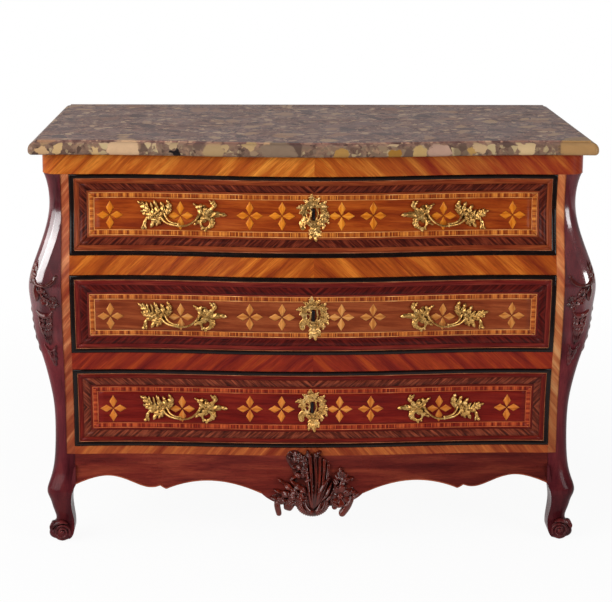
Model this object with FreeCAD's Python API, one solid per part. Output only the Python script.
import FreeCAD, Part
import math
import os

Vector = FreeCAD.Vector

# Bombe commode with three drawers and a marble top, in millimetres.
# +Z is up and the front looks along -Y. The origin is on the floor, below the
# middle of the overall box. The waist is the narrowest line of the case.

# Overall case
HEIGHT = 900.0
CASE_WIDTH = 1138.0
CASE_DEPTH = 541.0
BULGE = 42.0
BOW_AT_TOP = 32.0
BOW_AT_FLOOR = 13.0
SIDE_SPLAY = 27.0

# Marble top
TOP_THICKNESS = 30.0
TOP_OVERHANG = 25.0
TOP_CORNER_ROUND = 9.0
TOP_OVOLO = 15.0
TOP_LOWER_ROUND = 8.0
TOP_STEP = 3.0
TOP_STEP_INSET = 17.0

# Heights of the front, from the marble down; the drawers fill what is left
FRIEZE_HEIGHT = 44.0
DIVIDER_HEIGHT = 39.5
BOTTOM_RAIL_HEIGHT = 17.5
LEG_HEIGHT = 200.5
DRAWER_SHARES = (0.3289, 0.3327, 0.3384)

# Frame members
POST_FACE = 29.0
STILE_WIDTH = 18.0
POST_DEPTH = 60.0
POST_ROUND = 32.0
LEG_INNER_TAPER = 8.0
LEG_BACK_TAPER = 18.0
LEG_ROUND_LOSS = 12.0
REAR_POST_SIZE = 45.0
SIDE_FRIEZE_THICKNESS = 22.0
SIDE_PANEL_THICKNESS = 16.0
SIDE_ARCH_FOOT = 130.0
SIDE_ARCH_RISE = 26.0
BACK_BOARD_THICKNESS = 12.0
BACK_BOARD_SET = 10.0
BACK_BOARD_COUNT = 4
DUST_BOARD_THICKNESS = 12.0

# Apron and its carved cartouche
APRON_HEIGHT = 112.0
APRON_THICKNESS = 24.0
CARTOUCHE_WIDTH = 192.0
CARTOUCHE_HEIGHT = 143.0
CARTOUCHE_DEPTH = 14.0
CARTOUCHE_TOP_GAP = 2.5

# Drawers
DRAWER_GAP = 1.0
DRAWER_TRAVEL = 380.0
FRONT_THICKNESS = 20.0
BEAD_WIDTH = 9.0
BEAD_PROUD = 2.5
BEAD_SEAT = 4.0
SIDE_THICKNESS = 13.0
SIDE_TOP_ROOM = 6.0
BACK_THICKNESS = 12.0
BOTTOM_THICKNESS = 8.0
BOTTOM_RISE = 10.0
GROOVE_DEPTH = 4.0
REAR_ROOM = 12.0
RUNNER_WIDTH = 24.0
RUNNER_THICKNESS = 8.0
GUIDE_WIDTH = 14.0
GUIDE_HEIGHT = 20.0
GUIDE_GAP = 0.8
RUNNING_GAP = 0.3

# Gilt pulls
HANDLE_PLACE_SHARE = 0.5383
HANDLE_LENGTH = 192.0
HANDLE_HEIGHT = 68.0
HANDLE_PLATE = 6.0
HANDLE_PROJECTION = 24.0
HANDLE_BAR = 9.0
HANDLE_BOLT = 5.0
BOLT_CLEARANCE = 0.4
NUT_SIZE = 13.0
NUT_THICKNESS = 5.0
THREAD_GAP = 0.05
BOLT_TAIL = 4.0

# Escutcheons and locks
ESCUTCHEON_WIDTH = 74.0
ESCUTCHEON_HEIGHT_SHARE = 0.6753
ESCUTCHEON_PLATE = 5.0
ESCUTCHEON_RISE_SHARES = (-0.013, 0.0584, -0.026)
KEYHOLE_ROUND = 4.5
KEYHOLE_SLOT = 7.0
KEYHOLE_DROP = 16.0
KEY_RISE = 11.0
LOCK_WIDTH = 80.0
LOCK_BELOW_KEY = 21.0
LOCK_THICKNESS = 18.0
LOCK_KEY_DEPTH = 8.0
BOLT_WIDTH = 36.0
BOLT_THICKNESS = 5.0
BOLT_HEIGHT = 24.0
BOLT_TRAVEL = 9.0
MORTISE_ROOM = 1.0

# Fits
SEAT_GAP = 0.2
OVERRUN = 20.0

# The case's outward swell: (share of the case height, share of the bulge).
# From the scroll foot and the ankle over the knee and the lower waist to the
# swelling and the upper waist.
PROFILE_SHARES = (
    (0.000, -0.05), (0.006, 0.20), (0.012, 0.31), (0.024, 0.33), (0.036, 0.19), (0.046, 0.04),
    (0.080, 0.13), (0.106, 0.27), (0.130, 0.41), (0.155, 0.29), (0.184, 0.13), (0.241, 0.01),
    (0.299, -0.02), (0.356, 0.02), (0.414, 0.18), (0.483, 0.465), (0.552, 0.775), (0.621, 0.92),
    (0.678, 1.00), (0.736, 0.70), (0.793, 0.30), (0.862, 0.01), (0.908, 0.04), (0.930, 0.12),
    (0.950, 0.24), (1.000, 0.26),
)
# The front's bow in plan: (share of the half opening, share of the bow).
PLAN_SHARES = (
    (0.00, 1.00), (0.15, 0.93), (0.29, 0.75), (0.43, 0.44), (0.575, 0.15),
    (0.70, -0.04), (0.80, -0.10), (0.90, -0.06), (1.00, 0.00), (1.30, 0.00),
)
# How far the leg tapers at its back and its corner: (share of the case height, share of the taper).
LEG_SHARES = (
    (0.000, 0.90), (0.024, 0.90), (0.050, 1.00), (0.080, 0.75), (0.130, 0.25), (0.155, 0.06),
    (0.184, 0.00), (0.241, 0.00), (1.000, 0.00),
)
# How far the leg's inner face draws in, most under the foot: the same shares.
LEG_INNER_SHARES = (
    (0.000, 2.60), (0.006, 1.90), (0.014, 1.15), (0.022, 0.72), (0.038, 0.53), (0.050, 0.60), (0.063, 0.82),
    (0.080, 1.10), (0.106, 1.26), (0.130, 0.90), (0.155, 0.38), (0.184, 0.12), (0.241, 0.06), (1.000, 0.00),
)
FRONT_LOW_SHARE = 0.046
REAR_BULGE_SHARE = 0.3

# Lower edge of the right half of the apron, in runs that end in cusps:
# (share of the half opening, share of the apron height below its top).
APRON_RUN_SHARES = (
    ((1.000, 0.600), (0.930, 0.480), (0.858, 0.433), (0.760, 0.550), (0.693, 0.650), (0.642, 0.620)),
    ((0.642, 0.620), (0.617, 0.683)),
    ((0.617, 0.683), (0.540, 0.570), (0.427, 0.513), (0.300, 0.600), (0.213, 0.745)),
    ((0.213, 0.745), (0.170, 0.900), (0.000, 1.000)),
)
# Outline of the cartouche: (share of its half width, share of its height).
CARTOUCHE_SHARES = (
    (0.00, 0.00), (0.26, 0.12), (0.44, 0.04), (0.60, 0.14), (0.72, 0.30), (1.00, 0.38),
    (0.82, 0.56), (0.44, 0.62), (0.26, 0.82), (0.04, 1.00), (-0.22, 0.94), (-0.42, 0.74),
    (-0.78, 0.62), (-1.00, 0.40), (-0.72, 0.30), (-0.62, 0.06), (-0.42, 0.13), (-0.24, 0.11),
)
# Outlines of a right-hand pull's inner frond and outer leaves:
# (share of its half length, share of its half height).
FROND_SHARES = (
    (-1.00, -0.03), (-0.82, 0.48), (-0.65, 0.92), (-0.43, 0.58), (-0.23, 0.72), (-0.29, 0.16),
    (-0.33, -0.42), (-0.52, -1.00), (-0.74, -0.66), (-0.85, -0.22),
)
LEAF_SHARES = (
    (0.25, 0.28), (0.35, 0.92), (0.50, 0.64), (0.62, 0.76), (0.80, 0.52), (1.00, 0.24),
    (0.84, -0.16), (0.88, -0.90), (0.69, -0.78), (0.50, -0.62), (0.37, -0.36),
)
BAR_START_SHARES = (-0.38, -0.10)
BAR_MIDDLE_SHARES = (0.02, -0.78)
BAR_END_SHARES = (0.46, -0.40)
BAR_SEAT_SHARE = 0.6
FROND_BOLT_SHARES = (-0.58, 0.12)
LEAF_BOLT_SHARES = (0.62, 0.10)
# Outline of an escutcheon: (share of its half width, share of its half height).
ESCUTCHEON_SHARES = (
    (0.05, -1.00), (0.42, -0.72), (0.86, -0.42), (0.58, -0.05), (0.92, 0.30), (0.62, 0.56),
    (0.30, 0.72), (0.34, 0.96), (-0.10, 1.00), (-0.46, 0.80), (-0.40, 0.52), (-0.88, 0.34),
    (-0.62, -0.02), (-0.94, -0.36), (-0.56, -0.58), (-0.34, -0.84),
)

# Levels
CASE_TOP = HEIGHT - TOP_THICKNESS
FRIEZE_BASE = CASE_TOP - FRIEZE_HEIGHT
APRON_TOP = LEG_HEIGHT
DIVIDER_COUNT = len(DRAWER_SHARES) - 1
DRAWER_ROOM = FRIEZE_BASE - APRON_TOP - BOTTOM_RAIL_HEIGHT - DIVIDER_COUNT * DIVIDER_HEIGHT
DRAWER_TOPS = []
DRAWER_BASES = []
level = FRIEZE_BASE
for drawer_share in DRAWER_SHARES:
    DRAWER_TOPS.append(level)
    DRAWER_BASES.append(level - drawer_share * DRAWER_ROOM)
    level = DRAWER_BASES[-1] - DIVIDER_HEIGHT
LEAST_FIELD = min(DRAWER_SHARES) * DRAWER_ROOM - 2 * DRAWER_GAP - 2 * BEAD_WIDTH
ESCUTCHEON_HEIGHT = ESCUTCHEON_HEIGHT_SHARE * LEAST_FIELD
WAIST_HALF = CASE_WIDTH / 2
STILE_EDGE = WAIST_HALF - POST_FACE
OPENING_HALF = STILE_EDGE - STILE_WIDTH
HANDLE_OFFSET = HANDLE_PLACE_SHARE * OPENING_HALF


def spline_slope(table, place):
    """Slope of the smooth curve through a table at one of its places."""
    before = max(place - 1, 0)
    after = min(place + 1, len(table) - 1)
    return (table[after][1] - table[before][1]) / (table[after][0] - table[before][0])


def spline_share(table, at):
    """Value of the smooth curve through a table of (place, value) shares."""
    last = len(table) - 1
    at = min(max(at, table[0][0]), table[last][0])
    place = 0
    while place < last - 1 and at > table[place + 1][0]:
        place += 1
    span = table[place + 1][0] - table[place][0]
    t = (at - table[place][0]) / span
    rise_start = spline_slope(table, place) * span
    rise_end = spline_slope(table, place + 1) * span
    return (
        table[place][1] * (1 + 2 * t) * (1 - t) ** 2
        + rise_start * t * (1 - t) ** 2
        + table[place + 1][1] * t ** 2 * (3 - 2 * t)
        - rise_end * t ** 2 * (1 - t)
    )


def bulge_at(z):
    return BULGE * spline_share(PROFILE_SHARES, z / CASE_TOP)


def bow_at(z):
    return BOW_AT_FLOOR + (BOW_AT_TOP - BOW_AT_FLOOR) * z / CASE_TOP


def forward(x, z):
    """How far the front stands ahead of the waist plane."""
    return bulge_at(z) + bow_at(z) * spline_share(PLAN_SHARES, abs(x) / OPENING_HALF)


# Depths: the middle drawer's pulls reach furthest forward, the marble furthest back.
MIDDLE_HEIGHT = (DRAWER_TOPS[1] + DRAWER_BASES[1]) / 2
BAR_DROP = HANDLE_HEIGHT / 2 * BAR_MIDDLE_SHARES[1]
FRONT_REACH = forward(HANDLE_OFFSET, MIDDLE_HEIGHT + BAR_DROP) + HANDLE_PROJECTION + HANDLE_BAR / 2
WAIST_Y = (FRONT_REACH - CASE_DEPTH) / 2
BACK_Y = WAIST_Y + CASE_DEPTH
FRAME_BACK = WAIST_Y + POST_DEPTH
REAR_FRONT = BACK_Y - REAR_POST_SIZE
BOARD_BACK = BACK_Y - BACK_BOARD_SET
BOARD_FRONT = BOARD_BACK - BACK_BOARD_THICKNESS
REAR_INNER = WAIST_HALF - SIDE_SPLAY - REAR_POST_SIZE
BOX_HALF = REAR_INNER - GUIDE_WIDTH - GUIDE_GAP
BOX_REAR = BOARD_FRONT - REAR_ROOM


def front_y(x, z):
    return WAIST_Y - forward(x, z)


def side_x(y, z):
    """Half width of the case at a depth and height: splayed, with the swell fading to the back."""
    along = min(max((y - FRAME_BACK) / (REAR_FRONT - FRAME_BACK), 0), 1)
    fade = 1 - (1 - REAR_BULGE_SHARE) * along
    return WAIST_HALF + bulge_at(z) * fade - SIDE_SPLAY * (y - WAIST_Y) / CASE_DEPTH


def block(x0, x1, y0, y1, z0, z1):
    return Part.makeBox(x1 - x0, y1 - y0, z1 - z0, Vector(x0, y0, z0))


def moved(shape, x=0, y=0, z=0):
    return shape.translated(Vector(x, y, z))


def mirrored(shape):
    return shape.mirror(Vector(0, 0, 0), Vector(1, 0, 0))


def solid_of(shape):
    """The one solid of a result, with its inside inside."""
    solid = max(shape.Solids, key=lambda piece: abs(piece.Volume))
    if solid.Volume < 0:
        solid.reverse()
    return solid


def through(points, closed=False):
    """A smooth edge through points."""
    curve = Part.BSplineCurve()
    curve.interpolate(Points=points, PeriodicFlag=closed)
    return curve.toShape()


def save(name, *shapes):
    shape = shapes[0] if len(shapes) == 1 else Part.makeCompound(list(shapes))
    shape.exportStep("parts/" + name + ".step")
    print(name, len(shape.Solids), round(shape.Volume), shape.isValid())


def smooth_block(points, push):
    """A block behind a smooth surface through a grid of points."""
    surface = Part.BSplineSurface()
    surface.interpolate(points)
    return solid_of(surface.toShape().extrude(push))


def make_front_block():
    """Everything behind the bowed and swelling front."""
    columns = [share * OPENING_HALF for share, value in PLAN_SHARES]
    columns = [-x for x in reversed(columns[1:])] + columns
    rows = [share * CASE_TOP for share, value in PROFILE_SHARES if share >= FRONT_LOW_SHARE]
    grid = [[Vector(x, front_y(x, z), z) for z in rows] for x in columns]
    return smooth_block(grid, Vector(0, BULGE + BOW_AT_TOP + POST_DEPTH + APRON_HEIGHT, 0))


FRONT_BLOCK = make_front_block()
FAR_FRONT = WAIST_Y - BULGE - BOW_AT_TOP - HANDLE_PROJECTION - OVERRUN


def front_piece(x0, x1, back, z0, z1):
    """A piece of the front between two heights, flat at the back."""
    return solid_of(FRONT_BLOCK.common(block(x0, x1, FAR_FRONT, back, z0, z1)))


def outline_prism(wire):
    """An outline drawn on the XZ plane at the far front, pushed back through the front."""
    return Part.Face(wire).extrude(Vector(0, WAIST_Y + POST_DEPTH - FAR_FRONT, 0))


def plate_on_front(wire, thickness):
    """A plate of an outline that lies on the curved front."""
    proud = moved(FRONT_BLOCK, y=-thickness - SEAT_GAP)
    seat = moved(FRONT_BLOCK, y=-SEAT_GAP)
    return solid_of(outline_prism(wire).common(proud).cut(seat))


def shares_wire(shares, centre_x, centre_z, half_width, half_height, hand=1):
    """A closed smooth outline from shares about a centre."""
    points = [
        Vector(centre_x + hand * across * half_width, FAR_FRONT, centre_z + up * half_height)
        for across, up in shares
    ]
    return Part.Wire([through(points, closed=True)])


# Marble top
def top_outline(inset):
    """Plan outline of the marble, drawn in by an inset."""
    front = WAIST_Y - bulge_at(CASE_TOP) - TOP_OVERHANG
    half = WAIST_HALF + bulge_at(CASE_TOP) + TOP_OVERHANG
    corner = half - inset
    rear = half - SIDE_SPLAY - inset
    reach = PLAN_SHARES[-2][0]
    places = [(corner * share / reach, value) for share, value in PLAN_SHARES if share <= reach]
    places = [(-x, value) for x, value in reversed(places[1:])] + places
    points = [Vector(x, front + inset - BOW_AT_TOP * value, 0) for x, value in places]
    back_left = Vector(-rear, BACK_Y - inset, 0)
    back_right = Vector(rear, BACK_Y - inset, 0)
    edges = [
        through(points),
        Part.makeLine(points[-1], back_right),
        Part.makeLine(back_right, back_left),
        Part.makeLine(back_left, points[0]),
    ]
    return Part.Face(Part.Wire(edges))


def upright_edges(shape):
    return [edge for edge in shape.Edges if edge.BoundBox.ZLength > edge.BoundBox.DiagonalLength / 2]


def edges_at(shape, z):
    return [edge for edge in shape.Edges if abs(edge.CenterOfMass.z - z) < SEAT_GAP]


def make_marble_top():
    body_height = TOP_THICKNESS - TOP_STEP
    body = top_outline(0).extrude(Vector(0, 0, body_height))
    body = body.makeFillet(TOP_CORNER_ROUND, upright_edges(body))
    body = body.makeFillet(TOP_OVOLO, edges_at(body, body_height))
    body = body.makeFillet(TOP_LOWER_ROUND, edges_at(body, 0))
    table = moved(top_outline(TOP_STEP_INSET).extrude(Vector(0, 0, TOP_STEP)), z=body_height)
    return moved(solid_of(body.fuse(table).removeSplitter()), z=CASE_TOP)


# Top frame under the marble
def make_front_frieze():
    front = front_y(STILE_EDGE, CASE_TOP)
    side = side_x(front + POST_ROUND, CASE_TOP)
    side_back = side_x(FRAME_BACK, CASE_TOP)
    columns = [share * OPENING_HALF for share, value in PLAN_SHARES[:-1]] + [STILE_EDGE]
    columns = [-x for x in reversed(columns[1:])] + columns
    points = [Vector(x, front_y(x, CASE_TOP), FRIEZE_BASE) for x in columns]
    swing = POST_ROUND * (1 - math.sqrt(0.5))
    edges = [through(points)]
    for hand in (1, -1):
        start = Vector(hand * STILE_EDGE, front, FRIEZE_BASE)
        turn = Vector(hand * (side - POST_ROUND), front, FRIEZE_BASE)
        corner = Vector(hand * (side - swing), front + swing, FRIEZE_BASE)
        flank = Vector(hand * side, front + POST_ROUND, FRIEZE_BASE)
        rear = Vector(hand * side_back, FRAME_BACK, FRIEZE_BASE)
        edges.append(Part.makeLine(start, turn))
        edges.append(Part.Arc(turn, corner, flank).toShape())
        edges.append(Part.makeLine(flank, rear))
    edges.append(Part.makeLine(
        Vector(side_back, FRAME_BACK, FRIEZE_BASE), Vector(-side_back, FRAME_BACK, FRIEZE_BASE)))
    wire = Part.Wire(Part.sortEdges(edges)[0])
    rail = Part.Face(wire).extrude(Vector(0, 0, FRIEZE_HEIGHT))
    return rail.cut(bolt_mortise(0))


def make_side_frieze():
    """The right side's top rail."""
    front = side_x(FRAME_BACK, CASE_TOP)
    rear = side_x(REAR_FRONT, CASE_TOP)
    corners = [
        Vector(front, FRAME_BACK, FRIEZE_BASE),
        Vector(rear, REAR_FRONT, FRIEZE_BASE),
        Vector(rear - SIDE_FRIEZE_THICKNESS, REAR_FRONT, FRIEZE_BASE),
        Vector(front - SIDE_FRIEZE_THICKNESS, FRAME_BACK, FRIEZE_BASE),
    ]
    return Part.Face(Part.makePolygon(corners + corners[:1])).extrude(Vector(0, 0, FRIEZE_HEIGHT))


# Posts and legs
def profile_heights(top):
    heights = [share * CASE_TOP for share, value in PROFILE_SHARES]
    return [z for z in heights if z < top - DIVIDER_HEIGHT / 4] + [top]


def front_post_section(z):
    """Plan section of the right front post: flat inside, rounded at the outer corner."""
    taper = max(spline_share(LEG_SHARES, z / CASE_TOP), 0)
    front = front_y(STILE_EDGE, z)
    inner = OPENING_HALF + LEG_INNER_TAPER * max(spline_share(LEG_INNER_SHARES, z / CASE_TOP), 0)
    back = FRAME_BACK - LEG_BACK_TAPER * taper
    curve = POST_ROUND - LEG_ROUND_LOSS * taper
    swing = curve * (1 - math.sqrt(0.5))
    side = side_x(front + curve, z)
    turn = Vector(side - curve, front, z)
    flank = Vector(side, front + curve, z)
    start = Vector(inner, front, z)
    rear = Vector(side_x(back, z), back, z)
    inside = Vector(inner, back, z)
    return Part.Wire([
        Part.makeLine(start, turn),
        Part.Arc(turn, Vector(side - swing, front + swing, z), flank).toShape(),
        Part.makeLine(flank, rear),
        Part.makeLine(rear, inside),
        Part.makeLine(inside, start),
    ])


def make_front_post():
    """The right front post with its leg and foot, rebated for the stile."""
    sections = [front_post_section(z) for z in profile_heights(FRIEZE_BASE)]
    post = Part.makeLoft(sections, True, False)
    rebate = block(OPENING_HALF - OVERRUN, STILE_EDGE, FAR_FRONT, FRAME_BACK + OVERRUN, APRON_TOP,
                   FRIEZE_BASE + OVERRUN)
    return solid_of(post.cut(rebate))


def rear_post_section(z):
    """Plan section of the right rear post, whose leg is straight below the case."""
    swell = max(z, APRON_TOP)
    corners = [
        Vector(REAR_INNER, REAR_FRONT, z),
        Vector(side_x(REAR_FRONT, swell), REAR_FRONT, z),
        Vector(side_x(BACK_Y, swell), BACK_Y, z),
        Vector(REAR_INNER, BACK_Y, z),
    ]
    return Part.makePolygon(corners + corners[:1])


def make_rear_post():
    return solid_of(Part.makeLoft([rear_post_section(z) for z in profile_heights(CASE_TOP)], True, False))


def make_side_panel():
    """The right side: a swelling board with an arched lower edge."""
    arch_top = SIDE_ARCH_FOOT + SIDE_ARCH_RISE
    rows = [SIDE_ARCH_FOOT] + [z for z in profile_heights(FRIEZE_BASE) if z > arch_top]
    spans = len(PLAN_SHARES)
    start_depth = FRAME_BACK + SEAT_GAP
    run = REAR_FRONT - SEAT_GAP - start_depth
    depths = [start_depth + run * place / spans for place in range(spans + 1)]
    grid = [[Vector(side_x(y, z), y, z) for z in rows] for y in depths]
    panel = smooth_block(grid, Vector(-SIDE_PANEL_THICKNESS, 0, 0))
    inside = WAIST_HALF - SIDE_SPLAY - BULGE - SIDE_PANEL_THICKNESS
    start = Vector(inside, FRAME_BACK + POST_DEPTH / 2, SIDE_ARCH_FOOT)
    crown = Vector(inside, (FRAME_BACK + REAR_FRONT) / 2, arch_top)
    end = Vector(inside, REAR_FRONT - POST_DEPTH / 2, SIDE_ARCH_FOOT)
    arch = Part.Wire([Part.Arc(start, crown, end).toShape(), Part.makeLine(end, start)])
    cut = Part.Face(arch).extrude(Vector(CASE_WIDTH, 0, 0))
    return solid_of(panel.cut(cut))


# Front frame
def bolt_plane(number):
    """Depth of the middle of a drawer's lock bolt."""
    return drawer_back_plane(number) - LOCK_THICKNESS / 2


def bolt_mortise(number):
    """The hole that a lock bolt shoots into, in the rail above its drawer."""
    half = BOLT_WIDTH / 2 + MORTISE_ROOM
    depth = BOLT_THICKNESS / 2 + MORTISE_ROOM
    middle = bolt_plane(number)
    base = DRAWER_TOPS[number]
    top = base + BOLT_TRAVEL + MORTISE_ROOM
    return block(-half, half, middle - depth, middle + depth, base - OVERRUN, top)


def make_divider(number):
    """The rail under a drawer, which takes the bolt of the drawer below."""
    top = DRAWER_BASES[number]
    rail = front_piece(-OPENING_HALF, OPENING_HALF, FRAME_BACK, top - DIVIDER_HEIGHT, top)
    return rail.cut(bolt_mortise(number + 1))


def make_apron():
    runs = [
        [Vector(hand_x * OPENING_HALF, FAR_FRONT, APRON_TOP - drop * APRON_HEIGHT) for hand_x, drop in run]
        for run in APRON_RUN_SHARES
    ]
    edges = []
    for run in runs:
        edges.append(through(run))
        edges.append(through([Vector(-point.x, point.y, point.z) for point in run]))
    corner = Vector(OPENING_HALF, FAR_FRONT, APRON_TOP)
    far_corner = Vector(-OPENING_HALF, FAR_FRONT, APRON_TOP)
    edges.append(Part.makeLine(runs[0][0], corner))
    edges.append(Part.makeLine(corner, far_corner))
    edges.append(Part.makeLine(far_corner, Vector(-runs[0][0].x, FAR_FRONT, runs[0][0].z)))
    prism = outline_prism(Part.Wire(Part.sortEdges(edges)[0]))
    end = OPENING_HALF - SEAT_GAP
    limit = block(-end, end, FAR_FRONT, WAIST_Y + APRON_THICKNESS, 0, APRON_TOP)
    return solid_of(FRONT_BLOCK.common(prism).common(limit))


def make_cartouche():
    base = DRAWER_BASES[-1] - CARTOUCHE_TOP_GAP - CARTOUCHE_HEIGHT
    wire = shares_wire(CARTOUCHE_SHARES, 0, base, CARTOUCHE_WIDTH / 2, CARTOUCHE_HEIGHT)
    return plate_on_front(wire, CARTOUCHE_DEPTH)


# Inside of the case
def make_dust_board(number):
    """The board under a drawer, behind the rail."""
    top = DRAWER_BASES[number] - RUNNER_THICKNESS
    return block(-REAR_INNER, REAR_INNER, FRAME_BACK, BOARD_FRONT, top - DUST_BOARD_THICKNESS, top)


def make_runners():
    """Right-hand runner and guide strips, one pair to a drawer."""
    strips = []
    for base in DRAWER_BASES:
        seat = base - RUNNER_THICKNESS
        outer = BOX_HALF + GUIDE_GAP
        strips.append(block(outer - RUNNER_WIDTH, outer, FRAME_BACK, BOARD_FRONT, seat, base))
        strips.append(block(outer, REAR_INNER, FRAME_BACK, BOARD_FRONT, seat, base + GUIDE_HEIGHT))
    return strips


def make_back_boards():
    base = DRAWER_BASES[-1] - RUNNER_THICKNESS - DUST_BOARD_THICKNESS
    width = 2 * REAR_INNER / BACK_BOARD_COUNT
    edges = [-REAR_INNER + width * place for place in range(BACK_BOARD_COUNT)]
    return [block(x, x + width, BOARD_FRONT, BOARD_BACK, base, FRIEZE_BASE) for x in edges]


# Drawers
def drawer_span(number):
    """Lowest and highest level of a drawer's front, inside its gaps."""
    return DRAWER_BASES[number] + DRAWER_GAP, DRAWER_TOPS[number] - DRAWER_GAP


def drawer_back_plane(number):
    """Flat back of a drawer front, set by the thinnest place of its curved face."""
    low, high = drawer_span(number)
    steps = len(PROFILE_SHARES)
    hollow = min(bulge_at(low + (high - low) * step / steps) for step in range(steps + 1))
    dip = BOW_AT_TOP * min(value for share, value in PLAN_SHARES)
    return WAIST_Y - hollow - dip + FRONT_THICKNESS


def ring(number, width, y0, y1):
    """A frame round the edge of a drawer front."""
    low, high = drawer_span(number)
    half = OPENING_HALF - DRAWER_GAP
    outer = block(-half, half, y0, y1, low, high)
    inner = block(-half + width, half - width, y0 - OVERRUN, y1 + OVERRUN, low + width, high - width)
    return outer.cut(inner)


def make_bead(number):
    """The black moulding let into the edge of the front, and proud of it."""
    frame = ring(number, BEAD_WIDTH, FAR_FRONT, drawer_back_plane(number))
    proud = moved(FRONT_BLOCK, y=-BEAD_PROUD)
    seat = moved(FRONT_BLOCK, y=BEAD_SEAT - SEAT_GAP)
    return solid_of(frame.common(proud).cut(seat))


def keyhole(number):
    """The keyhole: a round for the pin and a slot for the bit, from the far front to the lock."""
    middle = drawer_middle(number) + KEY_RISE
    depth = drawer_back_plane(number) - LOCK_THICKNESS + LOCK_KEY_DEPTH - FAR_FRONT
    pin = Part.makeCylinder(KEYHOLE_ROUND, depth, Vector(0, FAR_FRONT, middle), Vector(0, 1, 0))
    half = KEYHOLE_SLOT / 2
    slot = block(-half, half, FAR_FRONT, FAR_FRONT + depth, middle - KEYHOLE_DROP, middle)
    return pin.fuse(slot)


def lock_box(number):
    """The space of a lock: let into the back of the front, from its top to below the keyhole."""
    high = drawer_span(number)[1]
    low = drawer_middle(number) + KEY_RISE - KEYHOLE_DROP - LOCK_BELOW_KEY
    back = drawer_back_plane(number)
    return block(-LOCK_WIDTH / 2, LOCK_WIDTH / 2, back - LOCK_THICKNESS, back, low, high)


def bolt_box(number, room):
    """A lock bolt, or with room its chase in the lock."""
    high = drawer_span(number)[1]
    half = BOLT_WIDTH / 2 + room
    depth = BOLT_THICKNESS / 2 + room
    middle = bolt_plane(number)
    return block(-half, half, middle - depth, middle + depth, high - BOLT_HEIGHT - room, high)


def drawer_middle(number):
    low, high = drawer_span(number)
    return (low + high) / 2


def handle_point(shares, hand, centre_z):
    """Place on the front at shares of a pull's half length and half height."""
    x = hand * (HANDLE_OFFSET + shares[0] * HANDLE_LENGTH / 2)
    z = centre_z + shares[1] * HANDLE_HEIGHT / 2
    return Vector(x, front_y(x, z), z)


def bolt_places(number, hand):
    middle = drawer_middle(number)
    return [handle_point(shares, hand, middle) for shares in (FROND_BOLT_SHARES, LEAF_BOLT_SHARES)]


def make_handle(number, hand):
    """One cast pull: frond, leaves, the bail between them and two screw posts."""
    middle = drawer_middle(number)
    half_length = HANDLE_LENGTH / 2
    half_height = HANDLE_HEIGHT / 2
    centre = hand * HANDLE_OFFSET
    plates = []
    for shares in (FROND_SHARES, LEAF_SHARES):
        wire = shares_wire(shares, centre, middle, half_length, half_height, hand)
        plates.append(plate_on_front(wire, HANDLE_PLATE))
    seat = Vector(0, -HANDLE_PLATE * BAR_SEAT_SHARE, 0)
    start = handle_point(BAR_START_SHARES, hand, middle) + seat
    end = handle_point(BAR_END_SHARES, hand, middle) + seat
    crest = handle_point(BAR_MIDDLE_SHARES, hand, middle) - Vector(0, HANDLE_PROJECTION, 0)
    arc = Part.Arc(start, crest, end).toShape()
    section = Part.Wire([Part.makeCircle(HANDLE_BAR / 2, start, arc.tangentAt(arc.FirstParameter))])
    bar = solid_of(Part.Wire([arc]).makePipeShell([section], True, False))
    bar = solid_of(bar.cut(moved(FRONT_BLOCK, y=-SEAT_GAP)))
    handle = bar.multiFuse(plates)
    tail = drawer_back_plane(number) + NUT_THICKNESS + BOLT_TAIL
    for place in bolt_places(number, hand):
        root = Vector(place.x, place.y - HANDLE_PLATE / 2, place.z)
        handle = handle.fuse(Part.makeCylinder(HANDLE_BOLT / 2, tail - root.y, root, Vector(0, 1, 0)))
    return solid_of(handle)


def make_nut(number, place):
    back = drawer_back_plane(number)
    half = NUT_SIZE / 2
    nut = block(place.x - half, place.x + half, back, back + NUT_THICKNESS, place.z - half, place.z + half)
    bore = Part.makeCylinder(HANDLE_BOLT / 2 + THREAD_GAP, NUT_THICKNESS, Vector(place.x, back, place.z),
                             Vector(0, 1, 0))
    return nut.cut(bore)


def make_drawer_front(number):
    low, high = drawer_span(number)
    half = OPENING_HALF - DRAWER_GAP
    back = drawer_back_plane(number)
    front = front_piece(-half, half, back, low, high)
    seat = moved(FRONT_BLOCK, y=BEAD_SEAT)
    rebate = ring(number, BEAD_WIDTH, FAR_FRONT, back).cut(seat)
    front = front.cut(rebate).cut(lock_box(number)).cut(keyhole(number))
    for hand in (1, -1):
        for place in bolt_places(number, hand):
            hole = Part.makeCylinder(HANDLE_BOLT / 2 + BOLT_CLEARANCE, back - FAR_FRONT,
                                     Vector(place.x, FAR_FRONT, place.z), Vector(0, 1, 0))
            front = front.cut(hole)
    return solid_of(front)


def make_drawer_side(number):
    """The right side of a drawer, grooved for the bottom."""
    base = DRAWER_BASES[number] + RUNNING_GAP
    top = DRAWER_TOPS[number] - SIDE_TOP_ROOM
    inner = BOX_HALF - SIDE_THICKNESS
    board = block(inner, BOX_HALF, drawer_back_plane(number), BOX_REAR, base, top)
    return board.cut(make_drawer_bottom(number))


def make_drawer_bottom(number):
    base = DRAWER_BASES[number] + RUNNING_GAP + BOTTOM_RISE
    half = BOX_HALF - SIDE_THICKNESS + GROOVE_DEPTH
    return block(-half, half, drawer_back_plane(number), BOX_REAR, base, base + BOTTOM_THICKNESS)


def make_drawer_back(number):
    base = DRAWER_BASES[number] + RUNNING_GAP + BOTTOM_RISE + BOTTOM_THICKNESS
    top = DRAWER_TOPS[number] - SIDE_TOP_ROOM
    half = BOX_HALF - SIDE_THICKNESS
    return block(-half, half, BOX_REAR - BACK_THICKNESS, BOX_REAR, base, top)


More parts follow.
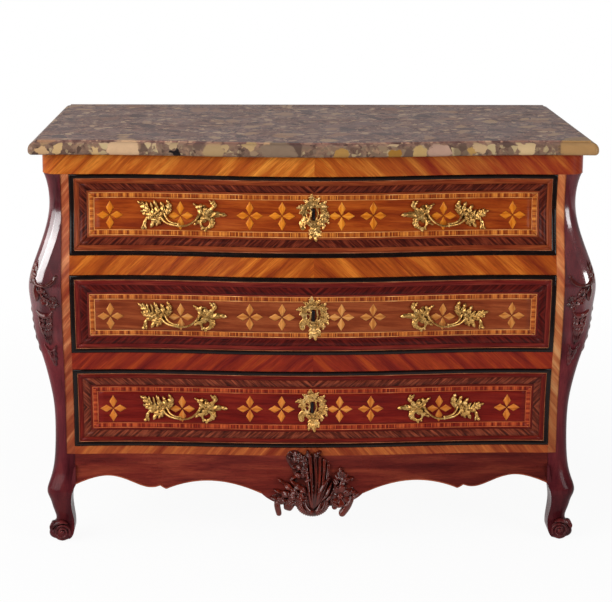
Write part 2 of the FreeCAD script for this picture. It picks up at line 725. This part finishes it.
def make_escutcheon(number):
    middle = drawer_middle(number) + ESCUTCHEON_RISE_SHARES[number] * LEAST_FIELD
    wire = shares_wire(ESCUTCHEON_SHARES, 0, middle, ESCUTCHEON_WIDTH / 2, ESCUTCHEON_HEIGHT / 2)
    return solid_of(plate_on_front(wire, ESCUTCHEON_PLATE).cut(keyhole(number)))


def make_lock_case(number):
    return lock_box(number).cut(bolt_box(number, RUNNING_GAP)).cut(keyhole(number))


def build():
    os.makedirs("parts", exist_ok=True)
    save("marble_top", make_marble_top())
    save("front_frieze_rail", make_front_frieze())
    save("rear_top_rail", block(-REAR_INNER, REAR_INNER, REAR_FRONT, BACK_Y, FRIEZE_BASE, CASE_TOP))
    stile = front_piece(OPENING_HALF, STILE_EDGE, FRAME_BACK, APRON_TOP, FRIEZE_BASE)
    right_hand = {
        "_frieze_rail": make_side_frieze(),
        "_side_panel": make_side_panel(),
        "_stile": stile,
    }
    for name, shape in right_hand.items():
        save("right" + name, shape)
        save("left" + name, mirrored(shape))
    for name, shape in (("front_{}_post", make_front_post()), ("rear_{}_post", make_rear_post())):
        save(name.format("right"), shape)
        save(name.format("left"), mirrored(shape))
    save("upper_divider_rail", make_divider(0))
    save("lower_divider_rail", make_divider(1))
    save("bottom_rail", front_piece(-OPENING_HALF, OPENING_HALF, FRAME_BACK, APRON_TOP, DRAWER_BASES[-1]))
    save("front_apron", make_apron())
    save("apron_cartouche", make_cartouche())
    for number, name in enumerate(("upper_dust_board", "lower_dust_board", "bottom_board")):
        save(name, make_dust_board(number))
    runners = make_runners()
    save("right_drawer_runners", *runners)
    save("left_drawer_runners", *[mirrored(strip) for strip in runners])
    save("back_boards", *make_back_boards())
    for number in range(len(DRAWER_SHARES)):
        drawer = "drawer_{}_".format(number + 1)
        side = make_drawer_side(number)
        save(drawer + "front", make_drawer_front(number))
        save(drawer + "bead", make_bead(number))
        save(drawer + "right_side", side)
        save(drawer + "left_side", mirrored(side))
        save(drawer + "back", make_drawer_back(number))
        save(drawer + "bottom", make_drawer_bottom(number))
        handle = make_handle(number, -1)
        save(drawer + "left_handle", handle)
        save(drawer + "right_handle", mirrored(handle))
        places = bolt_places(number, 1) + bolt_places(number, -1)
        save(drawer + "handle_nuts", *[make_nut(number, place) for place in places])
        save(drawer + "escutcheon", make_escutcheon(number))
        save(drawer + "lock_case", make_lock_case(number))
        save(drawer + "lock_bolt", bolt_box(number, 0))


build()
